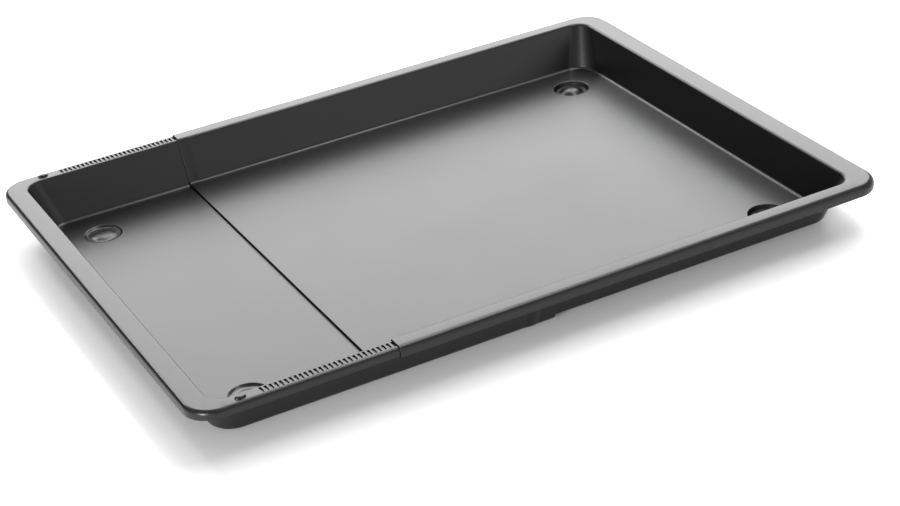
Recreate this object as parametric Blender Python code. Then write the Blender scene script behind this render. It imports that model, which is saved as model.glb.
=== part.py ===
import bpy
import bmesh
from math import cos, pi, radians, sin, tan

# Steel sheet and the clearance kept between the two halves
SHEET = 0.0006
GAP = 0.0003
NEST = SHEET + GAP

# Whole tray as it is set in the picture, and its two halves
LENGTH = 0.4435
WIDTH = 0.330
LOWER_LENGTH = 0.226
UPPER_LENGTH = 0.3241
FOOT_DEPTH = 0.0013
TRAY_DEPTH = 0.0287
LOWER_FLOOR = FOOT_DEPTH + SHEET
LOWER_TOP = LOWER_FLOOR + TRAY_DEPTH
UPPER_TOP = LOWER_TOP + NEST
FLOOR_GAP = 0.001
UPPER_FLOOR = LOWER_FLOOR + SHEET + FLOOR_GAP

# Rim and walls of the lower half, with the inset of the edge where wall and rim would meet
SIDE_SLOPE = radians(21.5)
END_SLOPE = radians(10.8)
SIDE_CORNER = 0.0097
END_CORNER = 0.0137
UPPER_END_CORNER = 0.0157
RIM_BEND = 0.0013
FLOOR_BEND = 0.0035
LIP_BEND = 0.0026
LIP_SIDE_DROP = 0.0052
LIP_END_DROP = 0.0059
LIP_SIDE = LOWER_TOP - LIP_SIDE_DROP
LIP_END = LOWER_TOP - LIP_END_DROP

# Lip of the upper half, hooked round the lower half's lip
HOOK_LOW = LIP_SIDE - NEST
HOOK_BEND = 0.0011
HOOK_LENGTH = 0.0018
HOOK_REACH = HOOK_BEND + HOOK_LENGTH

# Upright band at the upper half's free end where its side walls step out to the lower half
JOGGLE = 0.0003
BAND = 0.0058
BAND_STEP = 0.0012

# Upright bead in the lower half's side walls near its free end
BEAD_FROM_END = 0.015
BEAD_WIDTH = 0.0092
BEAD_DEPTH = 0.0008

# Corner radii seen from above
RIM_OUT_RADIUS = 0.017
RIM_IN_RADIUS = 0.0115
WALL_TOP_RADIUS = 0.0105
WALL_LOW_RADIUS = 0.015
FLOOR_RADIUS = 0.012

# Row of notches on each long rim of the lower half
NOTCH_FIRST = 0.0408
NOTCH_TAIL = 0.0371
NOTCH_WIDE = 0.00163
NOTCH_LAND = 0.00125
NOTCH_DRAFT = 0.00035
NOTCH_DEPTH = 0.0009
NOTCH_MARGIN = 0.0004
NOTCH_PITCH = NOTCH_WIDE + NOTCH_LAND
NOTCHES = round((LOWER_LENGTH - NOTCH_FIRST - NOTCH_TAIL) / NOTCH_PITCH) + 1
NOTCH_OUT = LIP_BEND + NOTCH_MARGIN
NOTCH_IN = SIDE_CORNER - RIM_BEND * tan((pi / 2 - SIDE_SLOPE) / 2) - NOTCH_MARGIN

# End stop outside the first notch
STOP_AT = 0.0285
STOP_INSET = 0.0051
STOP_LENGTH = 0.0068
STOP_WIDTH = 0.004
STOP_HEIGHT = 0.0014
STOP_SHARES = ((1, 0), (0.95, 0.3), (0.84, 0.68), (0.66, 0.92), (0.4, 1))

# Round pressed feet, each ring a share of the radius and of the depth
FOOT_END_LOWER = 0.0485
FOOT_END_UPPER = 0.0498
FOOT_SIDE = 0.0494
FOOT_RADIUS = 0.0125
FOOT_OUTER_SHARES = ((1, 0), (0.96, 0.14), (0.9, 0.62), (0.85, 1), (0.83, 1))
FOOT_INNER_SHARES = ((0.69, 1), (0.67, 1), (0.59, 0.8), (0.5, 0.5), (0.4, 0.25), (0.28, 0.08), (0.14, 0))
FOOT_SHARES = FOOT_OUTER_SHARES + FOOT_INNER_SHARES

# Fineness of the rounds
FLOOR_STEPS = 5
RIM_STEPS = 4
LIP_STEPS = 4
HOOK_STEPS = 3
CORNER_STEPS = 8
FOOT_SEGMENTS = 24
STOP_SEGMENTS = 14
BEAD_STEPS = 8


def clear_scene():
    for item in list(bpy.data.objects):
        bpy.data.objects.remove(item, do_unlink=True)


def material(name, colour):
    made = bpy.data.materials.new(name)
    made.use_nodes = True
    shader = made.node_tree.nodes["Principled BSDF"]
    shader.inputs["Base Color"].default_value = colour
    shader.inputs["Metallic"].default_value = 0.6
    shader.inputs["Roughness"].default_value = 0.4
    return made


def section(slope, corner, top, floor, rim_bend, floor_bend, lip_bend, low, hooked):
    """Inset and height of each row of the sheet's upper face, from the floor out to the lip."""
    turn = pi / 2 - slope
    foot = corner + (top - floor) * tan(slope) + floor_bend * tan(turn / 2)
    rows = []
    for k in range(FLOOR_STEPS + 1):
        a = turn * k / FLOOR_STEPS
        rows.append((foot - floor_bend * sin(a), floor + floor_bend * (1 - cos(a))))
    flat = corner - rim_bend * tan(turn / 2)
    for k in range(RIM_STEPS, -1, -1):
        a = turn * k / RIM_STEPS
        rows.append((flat + rim_bend * sin(a), top - rim_bend * (1 - cos(a))))
    for k in range(LIP_STEPS + 1):
        a = pi / 2 * k / LIP_STEPS
        rows.append((lip_bend * (1 - sin(a)), top - lip_bend * (1 - cos(a))))
    if not hooked:
        return rows + [(0, low)]
    for k in range(HOOK_STEPS + 1):
        a = pi / 2 * k / HOOK_STEPS
        rows.append((HOOK_BEND * (1 - cos(a)), low + HOOK_BEND * (1 - sin(a))))
    return rows + [(HOOK_REACH, low)]


def radii(rows):
    """Corner radius of each row seen from above."""
    wall = FLOOR_STEPS + 1
    flat = wall + RIM_STEPS
    found = []
    for i, (inset, _) in enumerate(rows):
        if i < wall:
            found.append(FLOOR_RADIUS + (WALL_LOW_RADIUS - FLOOR_RADIUS) * i / FLOOR_STEPS)
        elif i <= flat:
            found.append(WALL_TOP_RADIUS + (RIM_IN_RADIUS - WALL_TOP_RADIUS) * (i - wall) / RIM_STEPS)
        else:
            found.append(RIM_OUT_RADIUS - inset)
    return found


def lower_rows():
    side = section(SIDE_SLOPE, SIDE_CORNER, LOWER_TOP, LOWER_FLOOR, RIM_BEND, FLOOR_BEND, LIP_BEND, LIP_SIDE, False)
    end = section(END_SLOPE, END_CORNER, LOWER_TOP, LOWER_FLOOR, RIM_BEND, FLOOR_BEND, LIP_BEND, LIP_END, False)
    return side, end


def upper_rows():
    shift = NEST / cos(SIDE_SLOPE) - NEST * tan(SIDE_SLOPE) + NEST
    bends = (RIM_BEND + NEST, FLOOR_BEND - NEST, LIP_BEND + NEST)
    side = section(SIDE_SLOPE, SIDE_CORNER + shift + JOGGLE, UPPER_TOP, UPPER_FLOOR, *bends, HOOK_LOW, True)
    end = section(END_SLOPE, UPPER_END_CORNER + JOGGLE, UPPER_TOP, UPPER_FLOOR, *bends, HOOK_LOW, True)
    return side, end


def side_column(bm, rows, along, half_width, side, push):
    """One column of points across a long side; push moves the wall outwards."""
    made = []
    wall = FLOOR_STEPS + 1
    for i, (inset, height) in enumerate(rows):
        share = 0
        if 0 < i < wall:
            share = min(1, i / (FLOOR_STEPS - 1))
        elif wall <= i < wall + RIM_STEPS:
            share = 1 if i == wall else 1 - (i - wall) / RIM_STEPS
        made.append(bm.verts.new((along, side * (half_width - inset + push * share), height)))
    return made


def corner_columns(bm, side_rows, end_rows, edge, inward, half_width, side, backwards):
    """The columns round one corner, from the long side to the end, or the other way."""
    rounds = radii(side_rows)
    columns = []
    for k in range(CORNER_STEPS + 1):
        a = pi / 2 * k / CORNER_STEPS
        share = sin(a) ** 2
        made = []
        for (inset, height), (end_inset, end_height), r in zip(side_rows, end_rows, rounds):
            x = end_inset + r - r * sin(a)
            y = half_width - inset - r + r * cos(a)
            z = height + (end_height - height) * share
            made.append(bm.verts.new((edge + inward * x, side * y, z)))
        columns.append(made)
    return columns[::-1] if backwards else columns


def ring(bm, centre, reach, height, segments):
    made = []
    for k in range(segments):
        a = 2 * pi * k / segments
        made.append(bm.verts.new((centre[0] + reach[0] * cos(a), centre[1] + reach[1] * sin(a), height)))
    return made


def loop_edges(bm, verts):
    made = []
    for a, b in zip(verts, verts[1:] + verts[:1]):
        found = bm.edges.get((a, b))
        made.append(found if found else bm.edges.new((a, b)))
    return made


def bridge(bm, outer, inner):
    for k in range(len(outer)):
        n = (k + 1) % len(outer)
        bm.faces.new((outer[k], outer[n], inner[n], inner[k]))


def sink(bm, rings):
    """Closes a pressed or raised spot made of rings and returns the edges of its rim."""
    for outer, inner in zip(rings, rings[1:]):
        bridge(bm, outer, inner)
    bm.faces.new(rings[-1])
    return loop_edges(bm, rings[0])


def foot(bm, centre, floor, depth):
    rings = []
    for share, down in FOOT_SHARES:
        reach = FOOT_RADIUS * share
        rings.append(ring(bm, centre, (reach, reach), floor - depth * down, FOOT_SEGMENTS))
    return sink(bm, rings)


def notch(bm, x, side, half_width, top):
    near, far = half_width - NOTCH_IN, half_width - NOTCH_OUT
    rims = []
    for draft, height in ((0, top), (NOTCH_DRAFT, top - NOTCH_DEPTH)):
        reach = NOTCH_WIDE / 2 - draft
        low, high = near + draft, far - draft
        spots = ((x - reach, low), (x + reach, low), (x + reach, high), (x - reach, high))
        rims.append([bm.verts.new((a, side * b, height)) for a, b in spots])
    return sink(bm, rims)


def end_stop(bm, x, side, half_width, top):
    spot = (x, side * (half_width - STOP_INSET))
    rings = []
    for share, up in STOP_SHARES:
        reach = (STOP_LENGTH / 2 * share, STOP_WIDTH / 2 * share)
        rings.append(ring(bm, spot, reach, top + STOP_HEIGHT * up, STOP_SEGMENTS))
    return sink(bm, rings)


def fill(bm, edges):
    made = bmesh.ops.triangle_fill(bm, use_beauty=True, use_dissolve=False, edges=edges)
    return [item for item in made["geom"] if isinstance(item, bmesh.types.BMFace)]


def stitch(bm, columns, open_rows):
    """Faces between neighbouring columns; open_rows(j) names a row that is left for a fill."""
    for j, (a, b) in enumerate(zip(columns, columns[1:])):
        for i in range(len(a) - 1):
            if i != open_rows(j):
                bm.faces.new((a[i], a[i + 1], b[i + 1], b[i]))


def finish(bm, name, shade):
    """Turns every face upwards or outwards, thickens the sheet downwards and makes the node."""
    bm.normal_update()
    bmesh.ops.recalc_face_normals(bm, faces=bm.faces)
    highest = max(bm.faces, key=lambda face: face.calc_area())
    if highest.normal.z < 0:
        bmesh.ops.reverse_faces(bm, faces=bm.faces)
    mesh = bpy.data.meshes.new(name)
    bm.to_mesh(mesh)
    bm.free()
    mesh.shade_smooth()
    mesh.set_sharp_from_angle(angle=radians(28))
    mesh.materials.append(shade)
    node = bpy.data.objects.new(name, mesh)
    bpy.context.scene.collection.objects.link(node)
    thick = node.modifiers.new("Sheet", "SOLIDIFY")
    thick.thickness = SHEET
    thick.offset = -1
    thick.use_even_offset = True
    thick.use_quality_normals = True
    return node


def lower_half(shade):
    bm = bmesh.new()
    edge = -LENGTH / 2
    half_width = WIDTH / 2
    side_rows, end_rows = lower_rows()
    free = edge + LOWER_LENGTH
    middle = free - BEAD_FROM_END
    stations = [(free, 0)]
    for k in range(BEAD_STEPS + 1):
        a = k / BEAD_STEPS
        stations.append((middle + BEAD_WIDTH * (1 / 2 - a), BEAD_DEPTH * sin(pi * a) ** 2))
    back = [side_column(bm, side_rows, x, half_width, 1, push) for x, push in stations]
    front = [side_column(bm, side_rows, x, half_width, -1, push) for x, push in stations]
    back_corner = corner_columns(bm, side_rows, end_rows, edge, 1, half_width, 1, False)
    front_corner = corner_columns(bm, side_rows, end_rows, edge, 1, half_width, -1, True)
    columns = back + back_corner + front_corner + front[::-1]
    flat = FLOOR_STEPS + 1 + RIM_STEPS
    straight = len(stations)
    last = len(columns) - 1

    def open_rows(j):
        return flat if j < straight or j >= last - straight else None

    stitch(bm, columns, open_rows)
    for side, run in ((1, columns[: straight + 1]), (-1, columns[last - straight :][::-1])):
        outline = [column[flat] for column in run] + [column[flat + 1] for column in run[::-1]]
        edges = loop_edges(bm, outline)
        for k in range(NOTCHES):
            edges += notch(bm, edge + NOTCH_FIRST + NOTCH_PITCH * k, side, half_width, LOWER_TOP)
        edges += end_stop(bm, edge + STOP_AT, side, half_width, LOWER_TOP)
        fill(bm, edges)
    edges = loop_edges(bm, [column[0] for column in columns])
    for side in (1, -1):
        spot = (edge + FOOT_END_LOWER, side * (half_width - FOOT_SIDE))
        edges += foot(bm, spot, LOWER_FLOOR, LOWER_FLOOR - SHEET)
    fill(bm, edges)
    return finish(bm, "lower_half_tray", shade)


def upper_half(shade):
    bm = bmesh.new()
    edge = LENGTH / 2
    half_width = WIDTH / 2 + NEST
    side_rows, end_rows = upper_rows()
    free = edge - UPPER_LENGTH
    stations = [(free, JOGGLE), (free + BAND, JOGGLE), (free + BAND + BAND_STEP, 0)]
    back = [side_column(bm, side_rows, x, half_width, 1, push) for x, push in stations]
    front = [side_column(bm, side_rows, x, half_width, -1, push) for x, push in stations]
    back_corner = corner_columns(bm, side_rows, end_rows, edge, -1, half_width, 1, False)
    front_corner = corner_columns(bm, side_rows, end_rows, edge, -1, half_width, -1, True)
    columns = back + back_corner + front_corner + front[::-1]
    stitch(bm, columns, lambda j: None)
    for k in range(len(stations) - 1):
        bm.faces.new((back[k][0], back[k + 1][0], front[k + 1][0], front[k][0]))
    inner = columns[len(stations) - 1 : len(columns) - len(stations) + 1]
    edges = loop_edges(bm, [column[0] for column in inner])
    for side in (1, -1):
        spot = (edge - FOOT_END_UPPER, side * (WIDTH / 2 - FOOT_SIDE))
        edges += foot(bm, spot, UPPER_FLOOR, UPPER_FLOOR - SHEET)
    fill(bm, edges)
    return finish(bm, "upper_half_tray", shade)


clear_scene()
lower_half(material("lower_half_tray_coated_steel", (0.045, 0.045, 0.05, 1)))
upper_half(material("upper_half_tray_coated_steel", (0.045, 0.045, 0.05, 1)))
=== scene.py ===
"""Adjustable baking tray: two coated steel halves that slide in each other, in a pale studio."""

from math import cos, pi, radians, sin

import bmesh
import bpy
from mathutils import Matrix, Vector


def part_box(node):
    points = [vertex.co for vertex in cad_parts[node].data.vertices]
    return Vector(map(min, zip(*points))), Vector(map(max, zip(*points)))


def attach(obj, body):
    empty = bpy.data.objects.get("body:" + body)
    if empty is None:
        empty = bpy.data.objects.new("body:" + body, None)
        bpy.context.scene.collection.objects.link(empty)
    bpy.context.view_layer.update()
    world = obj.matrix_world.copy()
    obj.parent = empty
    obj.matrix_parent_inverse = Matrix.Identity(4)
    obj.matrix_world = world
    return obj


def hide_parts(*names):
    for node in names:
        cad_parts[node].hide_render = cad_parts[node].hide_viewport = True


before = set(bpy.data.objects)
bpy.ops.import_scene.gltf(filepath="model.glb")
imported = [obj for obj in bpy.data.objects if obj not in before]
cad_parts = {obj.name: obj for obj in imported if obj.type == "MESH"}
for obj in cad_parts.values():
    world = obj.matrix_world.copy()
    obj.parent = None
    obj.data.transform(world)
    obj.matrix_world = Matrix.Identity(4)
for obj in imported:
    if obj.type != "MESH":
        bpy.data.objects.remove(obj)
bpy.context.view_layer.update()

bl_info = {
    "name": "Adjustable Baking Tray",
    "version": (1, 0, 0),
    "blender": (4, 5, 0),
    "location": "View3D > Sidebar > Baking Tray",
    "description": "Dresses the two sliding halves of a coated steel tray and sets its studio",
    "category": "Object",
}

MM = 0.001

# How close the corners of a CAD copy's loose triangles are when they are one corner
JOIN = 0.002 * MM

# Edges sharper than CUT_EDGE are where the sheet was cut; they are rounded in a few steps.
# The shading breaks at edges sharper than CREASE, and large faces set it by FACE_WEIGHT.
CUT_EDGE = radians(50)
ROUND_STEPS = 3
CREASE = radians(32)
FACE_WEIGHT = 80

# Most of a noise texture's values lie between these two
NOISE_LOW, NOISE_HIGH = 0.3, 0.7

# How far the coat's grain moves its colour, and its clouds move its roughness, either way
GRAIN_TONE = 0.07
CLOUD_GLOSS = 0.01

# The studio's fixed sizes and places, in metres from the tray's middle on the floor
EYE = Vector((-0.502477, -1.072523, 0.624735))
FILM_WIDTH = 36.0
FLOOR_SIZE = 9.0

# A black card at the back left, which only mirrors see
CARD_SPOT = Vector((-1.2, 1.5, 0.45))
CARD_SIZE = Vector((2.2, 0.9, 1.0))

# Soft boxes: name, place, width and height, brightness where a white wall in full light has 1
LIGHTS = (
    ("back_light", (0.75, 1.6, 0.9), (2.0, 1.1), 5.3),
    ("back_high_light", (0.7, 1.1, 1.6), (1.6, 0.5), 7.4),
    ("top_strip", (0.7, 0.1, 1.9), (1.4, 0.25), 15.0),
    ("back_left_light", (-0.42, 1.55, 1.15), (0.3, 0.3), 28.0),
    ("left_strip", (-1.85, -1.22, 0.42), (0.45, 0.8), 40.0),
    ("front_right_light", (1.5, -2.4, 0.8), (2.0, 1.0), 1.1),
)


def linear(hex_code):
    """A colour written as sRGB hex, as the linear RGBA that the shaders read."""
    shares = [int(hex_code[i : i + 2], 16) / 255 for i in (1, 3, 5)]
    return [s / 12.92 if s <= 0.04045 else ((s + 0.055) / 1.055) ** 2.4 for s in shares] + [1.0]


def share(name, description, default):
    return bpy.props.FloatProperty(
        name=name, description=description, subtype="FACTOR", min=0, max=1, default=default
    )


def length(name, description, default):
    return bpy.props.FloatProperty(
        name=name, description=description, unit="LENGTH", default=default
    )


def angle(name, description, degrees):
    return bpy.props.FloatProperty(
        name=name, description=description, subtype="ANGLE", default=radians(degrees)
    )


def colour(name, description, hex_code):
    return bpy.props.FloatVectorProperty(
        name=name,
        description=description,
        subtype="COLOR",
        size=4,
        min=0,
        max=1,
        default=linear(hex_code),
    )


class TrayProps(bpy.types.PropertyGroup):
    """What a user would change on the tray."""

    coat_colour: colour("Coat colour", "Colour of the non-stick coat", "#0F0F10")
    coat_roughness: share("Coat roughness", "Middle roughness of the satin coat", 0.32)
    coat_shine: share("Coat shine", "Strength of what the coat mirrors", 0.38)
    grain: length("Coat grain", "Width of one grain of the sprayed coat", 0.7 * MM)
    grain_depth: length("Grain depth", "Depth of the sprayed coat's grain", 0.03 * MM)
    grain_share: share("Grain share", "How much of the grain's depth shows", 0.25)
    cloud: length("Coat clouds", "Width of one cloud where the film is thicker", 60 * MM)
    free_round: length("Free end round", "Rounding of the sheet's deburred free end", 0.28 * MM)
    edge_round: length("Edge round", "Rounding of the sheet's coated cut edges", 0.2 * MM)


class StageProps(bpy.types.PropertyGroup):
    """What a user would change in the studio."""

    floor_colour: colour("Floor colour", "Colour of the floor under the tray", "#FAFAFA")
    floor_roughness: share("Floor roughness", "Roughness of the floor under the tray", 0.6)
    world_colour: colour("Room colour", "Colour of the room round the tray", "#CCCCCC")
    card_colour: colour("Card colour", "Colour of the card that darkens the end wall", "#050505")
    lens: bpy.props.FloatProperty(
        name="Lens", description="Focal length on a 36 mm wide film", unit="CAMERA", default=86.3126
    )
    turn: angle("Turn", "Turn of the camera round the tray", -25.621)
    rise: angle("Rise", "Height angle of the camera", 28.550)
    roll: angle("Roll", "Roll of the camera about its view", -5.396)
    light_level: bpy.props.FloatProperty(
        name="Light level", description="Share of the studio lights' full power", min=0, default=1.0
    )


def add(tree, kind, links=(), inputs=(), **settings):
    """Adds a node with settings, (input, value) pairs and (input, source socket) links."""
    node = tree.nodes.new(kind)
    for key, value in settings.items():
        setattr(node, key, value)
    for key, value in inputs:
        node.inputs[key].default_value = value
    for key, source in links:
        tree.links.new(source, node.inputs[key])
    return node


def new_material(name):
    made = bpy.data.materials.new(name)
    made.use_nodes = True
    tree = made.node_tree
    return made, tree, tree.nodes["Principled BSDF"]


def satin_non_stick_coat(props):
    """Sprayed and baked satin non-stick coat on sheet steel."""
    # The eye sees near black that turns pale where it mirrors soft light, with the spray's grain
    # and broad faint clouds where the film is a little thicker. The real grain is finer than it
    # is drawn, so that it shows in the render.
    made, tree, shader = new_material("satin_non_stick_coat")
    place = add(tree, "ShaderNodeTexCoord").outputs["Object"]
    grain = add(
        tree,
        "ShaderNodeTexNoise",
        [("Vector", place)],
        [("Scale", 1 / props.grain), ("Detail", 2.0)],
    ).outputs["Fac"]
    cloud = add(
        tree,
        "ShaderNodeTexNoise",
        [("Vector", place)],
        [("Scale", 1 / props.cloud), ("Detail", 1.0)],
    ).outputs["Fac"]
    speck = add(
        tree,
        "ShaderNodeMapRange",
        [("Value", grain)],
        [
            ("From Min", NOISE_LOW),
            ("From Max", NOISE_HIGH),
            ("To Min", 1 - GRAIN_TONE),
            ("To Max", 1 + GRAIN_TONE),
        ],
    ).outputs["Result"]
    tone = add(
        tree,
        "ShaderNodeVectorMath",
        [("Scale", speck)],
        [(0, list(props.coat_colour)[:3])],
        operation="SCALE",
    ).outputs["Vector"]
    film = add(
        tree,
        "ShaderNodeMapRange",
        [("Value", cloud)],
        [
            ("From Min", NOISE_LOW),
            ("From Max", NOISE_HIGH),
            ("To Min", props.coat_roughness - CLOUD_GLOSS),
            ("To Max", props.coat_roughness + CLOUD_GLOSS),
        ],
    ).outputs["Result"]
    peel = add(
        tree,
        "ShaderNodeBump",
        [("Height", grain)],
        [("Strength", props.grain_share), ("Distance", props.grain_depth)],
    ).outputs["Normal"]
    for key, source in (("Base Color", tone), ("Roughness", film), ("Normal", peel)):
        tree.links.new(source, shader.inputs[key])
    shader.inputs["Specular IOR Level"].default_value = props.coat_shine
    return made


def matt_white_acrylic(props):
    """Sanded white acrylic sheet."""
    # The eye sees plain white with a soft shadow.
    made, _, shader = new_material("matt_white_acrylic")
    shader.inputs["Base Color"].default_value = props.floor_colour
    shader.inputs["Roughness"].default_value = props.floor_roughness
    return made


def black_flock_card(props):
    """Card covered with black flock."""
    # The eye never sees it; the coat of the end wall mirrors it and stays dark.
    made, _, shader = new_material("black_flock_card")
    shader.inputs["Base Color"].default_value = props.card_colour
    shader.inputs["Roughness"].default_value = 1.0
    shader.inputs["Specular IOR Level"].default_value = 0.0
    return made


def place_mesh(name, bm, finish):
    """Turns a bmesh into an object at the origin with one finish."""
    mesh = bpy.data.meshes.new(name)
    bm.to_mesh(mesh)
    bm.free()
    mesh.materials.append(finish)
    made = bpy.data.objects.new(name, mesh)
    bpy.context.scene.collection.objects.link(made)
    return made


def cut_edges(bm):
    return [e for e in bm.edges if len(e.link_faces) == 2 and e.calc_face_angle() > CUT_EDGE]


def round_edges(bm, edges, offset):
    bmesh.ops.bevel(
        bm,
        geom=edges,
        offset=offset,
        affect="EDGES",
        segments=ROUND_STEPS,
        profile=0.5,
        material=-1,
        clamp_overlap=True,
    )


def coated_half(name, node, body):
    """One half of the tray: the CAD sheet joined up, with rounded cut edges and smooth bends."""
    props = bpy.context.scene.tray_props
    low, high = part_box(node)
    free_end = min((low[0], high[0]), key=abs)
    finish = bpy.data.materials.get("satin_non_stick_coat") or satin_non_stick_coat(props)
    bm = bmesh.new()
    bm.from_mesh(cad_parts[node].data)
    bmesh.ops.remove_doubles(bm, verts=bm.verts, dist=JOIN)
    bmesh.ops.recalc_face_normals(bm, faces=bm.faces)
    free = [e for e in cut_edges(bm) if all(abs(v.co.x - free_end) < JOIN for v in e.verts)]
    round_edges(bm, free, props.free_round)
    round_edges(bm, cut_edges(bm), props.edge_round)
    made = place_mesh(name, bm, finish)
    made.data.shade_smooth()
    made.data.set_sharp_from_angle(angle=CREASE)
    weigh = made.modifiers.new("Even shading", "WEIGHTED_NORMAL")
    weigh.keep_sharp = True
    weigh.weight = FACE_WEIGHT
    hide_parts(node)
    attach(made, body)
    return made


class TRAY_OT_lower_half(bpy.types.Operator):
    """Makes the lower half: the notched sheet that the other half slides over"""

    bl_idname = "tray.lower_half"
    bl_label = "Lower Half"

    def execute(self, context):
        coated_half("lower_half_sheet", "lower_half_tray", "lower_half")
        return {"FINISHED"}


class TRAY_OT_upper_half(bpy.types.Operator):
    """Makes the upper half, whose lip hooks round the lower half's rim"""

    bl_idname = "tray.upper_half"
    bl_label = "Upper Half"

    def execute(self, context):
        coated_half("upper_half_sheet", "upper_half_tray", "upper_half")
        return {"FINISHED"}


def soft_light(name, spot, size, brightness):
    """A soft box that faces the tray's middle and stays out of the picture."""
    light = bpy.data.lights.new(name, "AREA")
    light.shape = "RECTANGLE"
    light.size, light.size_y = size
    light.energy = brightness * pi * light.size * light.size_y
    made = bpy.data.objects.new(name, light)
    made.location = spot
    made.rotation_euler = (-spot).to_track_quat("-Z", "Y").to_euler()
    made.visible_camera = False
    bpy.context.scene.collection.objects.link(made)


def black_card(props):
    """The black card, turned to the tray's middle."""
    bm = bmesh.new()
    stand = Matrix.LocRotScale(CARD_SPOT, CARD_SPOT.to_track_quat("Z", "Y"), CARD_SIZE)
    bmesh.ops.create_grid(bm, x_segments=1, y_segments=1, size=0.5, matrix=stand)
    made = place_mesh("black_card", bm, black_flock_card(props))
    made.visible_camera = made.visible_diffuse = made.visible_shadow = False
    return made


def fitted_camera(props):
    """The camera whose place and lens were fitted to the tray's straight edges."""
    lens = bpy.data.cameras.new("photo_camera")
    lens.sensor_width = FILM_WIDTH
    lens.sensor_fit = "HORIZONTAL"
    lens.lens = props.lens
    made = bpy.data.objects.new("photo_camera", lens)
    side, front = sin(props.turn) * cos(props.rise), -cos(props.turn) * cos(props.rise)
    back = Vector((side, front, sin(props.rise)))
    right = Vector((0, 0, 1)).cross(back).normalized()
    up = back.cross(right)
    c, s = cos(props.roll), sin(props.roll)
    right, up = c * right + s * up, c * up - s * right
    view = Matrix((right, up, back)).transposed().to_4x4()
    made.matrix_world = Matrix.Translation(EYE) @ view
    bpy.context.scene.collection.objects.link(made)
    return made


class TRAY_OT_stage(bpy.types.Operator):
    """Sets the floor, the black card, the room, the soft lights and the camera"""

    bl_idname = "tray.stage"
    bl_label = "Studio"

    def execute(self, context):
        scene = context.scene
        props = scene.stage_props
        bm = bmesh.new()
        bmesh.ops.create_grid(bm, x_segments=1, y_segments=1, size=FLOOR_SIZE / 2)
        place_mesh("studio_floor", bm, matt_white_acrylic(props))
        black_card(props)

        world = bpy.data.worlds.new("studio_room")
        world.use_nodes = True
        world.node_tree.nodes["Background"].inputs["Color"].default_value = props.world_colour
        scene.world = world

        for name, spot, size, brightness in LIGHTS:
            soft_light(name, Vector(spot), size, brightness * props.light_level)

        scene.camera = fitted_camera(props)
        scene.view_settings.view_transform = "Standard"
        return {"FINISHED"}


class TRAY_PT_panel(bpy.types.Panel):
    """Lists the tray's pieces and settings"""

    bl_label = "Baking Tray"
    bl_space_type = "VIEW_3D"
    bl_region_type = "UI"
    bl_category = "Baking Tray"

    def draw(self, context):
        for props in (context.scene.tray_props, context.scene.stage_props):
            box = self.layout.box()
            for key in props.__annotations__:
                box.prop(props, key)
        for made in OPERATORS:
            self.layout.operator(made.bl_idname)


OPERATORS = (TRAY_OT_lower_half, TRAY_OT_upper_half, TRAY_OT_stage)
CLASSES = (TrayProps, StageProps, *OPERATORS, TRAY_PT_panel)


def register():
    for made in CLASSES:
        bpy.utils.register_class(made)
    bpy.types.Scene.tray_props = bpy.props.PointerProperty(type=TrayProps)
    bpy.types.Scene.stage_props = bpy.props.PointerProperty(type=StageProps)


def unregister():
    del bpy.types.Scene.stage_props
    del bpy.types.Scene.tray_props
    for made in reversed(CLASSES):
        bpy.utils.unregister_class(made)


def main():
    register()
    bpy.ops.tray.lower_half()
    bpy.ops.tray.upper_half()
    bpy.ops.tray.stage()


if __name__ == "__main__":
    main()
